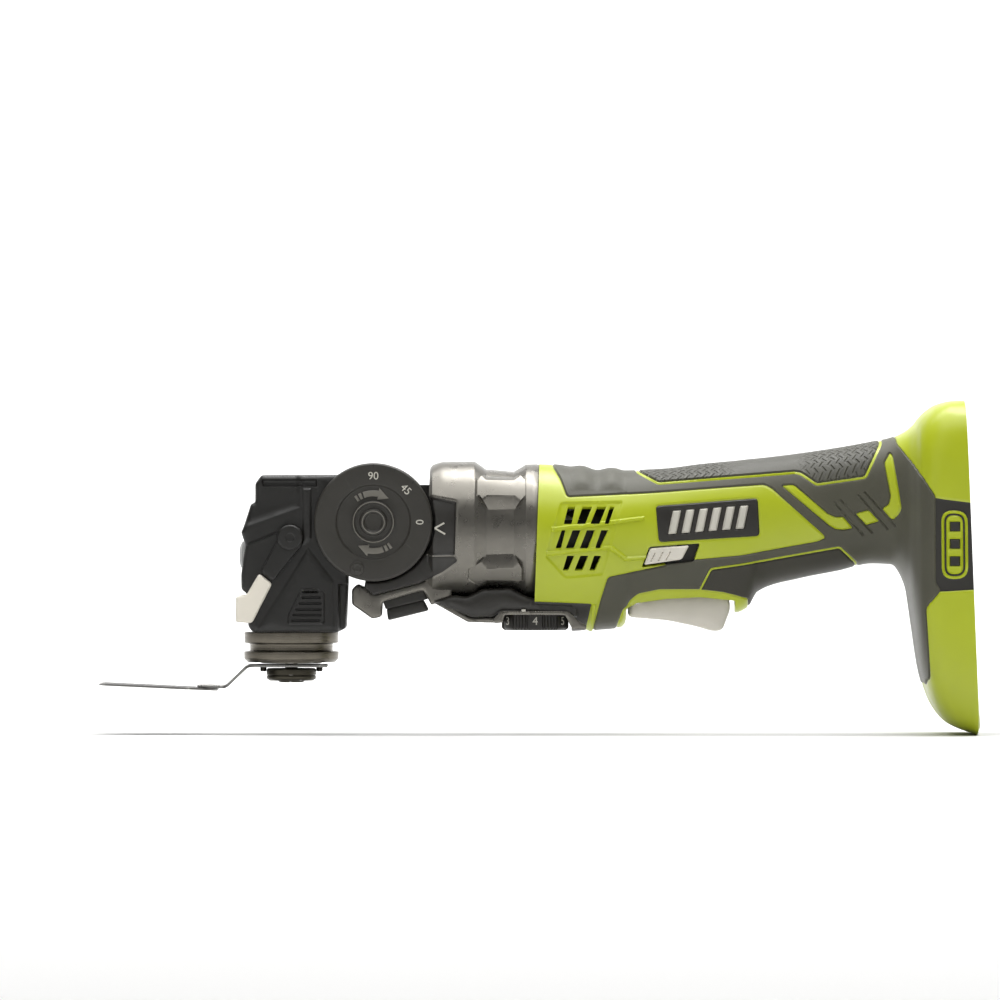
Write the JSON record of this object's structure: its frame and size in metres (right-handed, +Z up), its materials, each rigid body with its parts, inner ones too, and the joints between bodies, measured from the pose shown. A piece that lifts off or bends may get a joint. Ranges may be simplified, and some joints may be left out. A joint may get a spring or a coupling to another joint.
{
  "type": "cordless oscillating multi-tool",
  "caption": "Cordless oscillating multi-tool: a swivelling head with a plunge-cut blade, motor barrel, paddle trigger, speed wheel and a battery foot.",
  "frame": {"origin": "middle of the tool's length and width, at the lowest edge of the battery foot", "axes": "+X from the blade towards the battery foot, +Y across the tool, +Z up, with the blade pointing down at rest"},
  "size_m": [0.3062, 0.0784, 0.1166],
  "materials": {
    "green_housing": "satin moulded, lime green",
    "grip_rubber": "soft-touch, fine grain",
    "pad_rubber": "soft-touch with raised treads",
    "black_plastic": "fine spark-eroded grain",
    "dial_plastic": "matt dark grey",
    "plate_black": "glossy black",
    "silver_casting": "satin cast and painted silver",
    "pale_plastic": "pale warm grey",
    "steel_bright": "turned and polished",
    "steel_dark": "blackened",
    "lens_clear": "frosted clear",
    "copper": "plated contact",
    "circuit_board": "lacquered board"
  },
  "bodies": {
    "handle": {"housing_left": "green_housing", "housing_right": "green_housing", "side_grip_left": "grip_rubber", "side_grip_right": "grip_rubber", "top_grip_pad": "pad_rubber", "foot_badge_left": "pad_rubber", "foot_badge_right": "pad_rubber", "neck_yoke": "black_plastic", "chin_cover": "black_plastic", "switch_body": "black_plastic", "terminal_block": "black_plastic", "dock_plate": "black_plastic", "name_plate_left": "plate_black", "name_plate_right": "plate_black", "gear_housing": "silver_casting", "latch_bracket": "silver_casting", "belly_trim": "silver_casting", "motor_mount": "silver_casting", "motor_can": "steel_bright", "front_bearing": "steel_bright", "rear_bearing": "steel_bright", "trigger_pin": "steel_bright", "housing_screw_1": "steel_bright", "housing_screw_2": "steel_bright", "housing_screw_3": "steel_bright", "field_magnet": "steel_dark", "contact_positive": "copper", "contact_negative": "copper", "speed_board": "circuit_board"},
    "head": {"head_shell_left": "black_plastic", "head_shell_right": "black_plastic", "dial_left": "dial_plastic", "dial_right": "dial_plastic", "pivot_bolt_left": "dial_plastic", "pivot_bolt_right": "dial_plastic", "arm_cover_left": "black_plastic", "arm_cover_right": "black_plastic", "nose_guard": "pale_plastic", "led_lens": "lens_clear", "collar_ring": "steel_bright", "upper_bearing": "steel_bright", "lower_bearing": "steel_bright", "eccentric_bracket": "silver_casting"},
    "spindle": {"spindle": "steel_bright", "drive_fork": "steel_dark", "blade_holder": "steel_dark", "saw_blade": "steel_dark", "clamp_washer": "steel_dark", "clamp_bolt": "steel_dark"},
    "eccentric": {"eccentric_shaft": "steel_bright"},
    "rotor": {"rotor": "steel_dark", "cooling_fan": "black_plastic", "drive_pinion": "steel_bright"},
    "idler": {"idler_gear": "steel_bright"},
    "trigger": {"trigger": "pale_plastic"},
    "lock_slide": {"lock_slide": "pale_plastic"},
    "release": {"release_button": "black_plastic", "release_spring": "steel_bright"},
    "speed_wheel": {"speed_wheel": "black_plastic"}
  },
  "joints": [
    {"name": "head_pivot", "type": "hinge", "parent": "handle", "child": "head", "pos_m": [-0.0573, 0, 0.0742], "axis": [0, 1, 0], "range_deg": [0, 90]},
    {"name": "spindle_oscillation", "type": "hinge", "parent": "head", "child": "spindle", "pos_m": [-0.0862, 0, 0.0742], "axis": [0, 0, 1], "range_deg": [-1.6, 1.6]},
    {"name": "rotor_spin", "type": "hinge", "parent": "handle", "child": "rotor", "pos_m": [-0.0573, 0, 0.0742], "axis": [0.9981, 0, -0.061], "continuous": true},
    {"name": "idler_spin", "type": "hinge", "parent": "handle", "child": "idler", "pos_m": [-0.0573, 0, 0.0742], "axis": [0, 1, 0], "continuous": true},
    {"name": "eccentric_spin", "type": "hinge", "parent": "head", "child": "eccentric", "pos_m": [-0.0573, 0, 0.0742], "axis": [1, 0, 0], "continuous": true},
    {"name": "trigger_squeeze", "type": "hinge", "parent": "handle", "child": "trigger", "pos_m": [0.0343, 0, 0.0468], "axis": [0, -1, 0], "range_deg": [0, 6], "stiffness_Nm_per_rad": 1, "springref_deg": -8.59},
    {"name": "lock_slide_travel", "type": "slide", "parent": "handle", "child": "lock_slide", "axis": [0.9985, 0, 0.0542], "range_m": [0, 0.0025]},
    {"name": "head_release_press", "type": "slide", "parent": "handle", "child": "release", "axis": [-0.2377, 0, 0.9713], "range_m": [0, 0.002], "stiffness_N_per_m": 400, "springref_m": -0.004, "deforming": ["release_spring"]},
    {"name": "speed_wheel_turn", "type": "hinge", "parent": "handle", "child": "speed_wheel", "pos_m": [-0.0009, 0, 0.0402], "axis": [0, 0, 1], "range_deg": [-128, 157]}
  ],
  "couplings": [
    {"joint": "idler_spin", "follows": "rotor_spin", "ratio": -0.75},
    {"joint": "eccentric_spin", "follows": "rotor_spin", "ratio": -1}
  ]
}
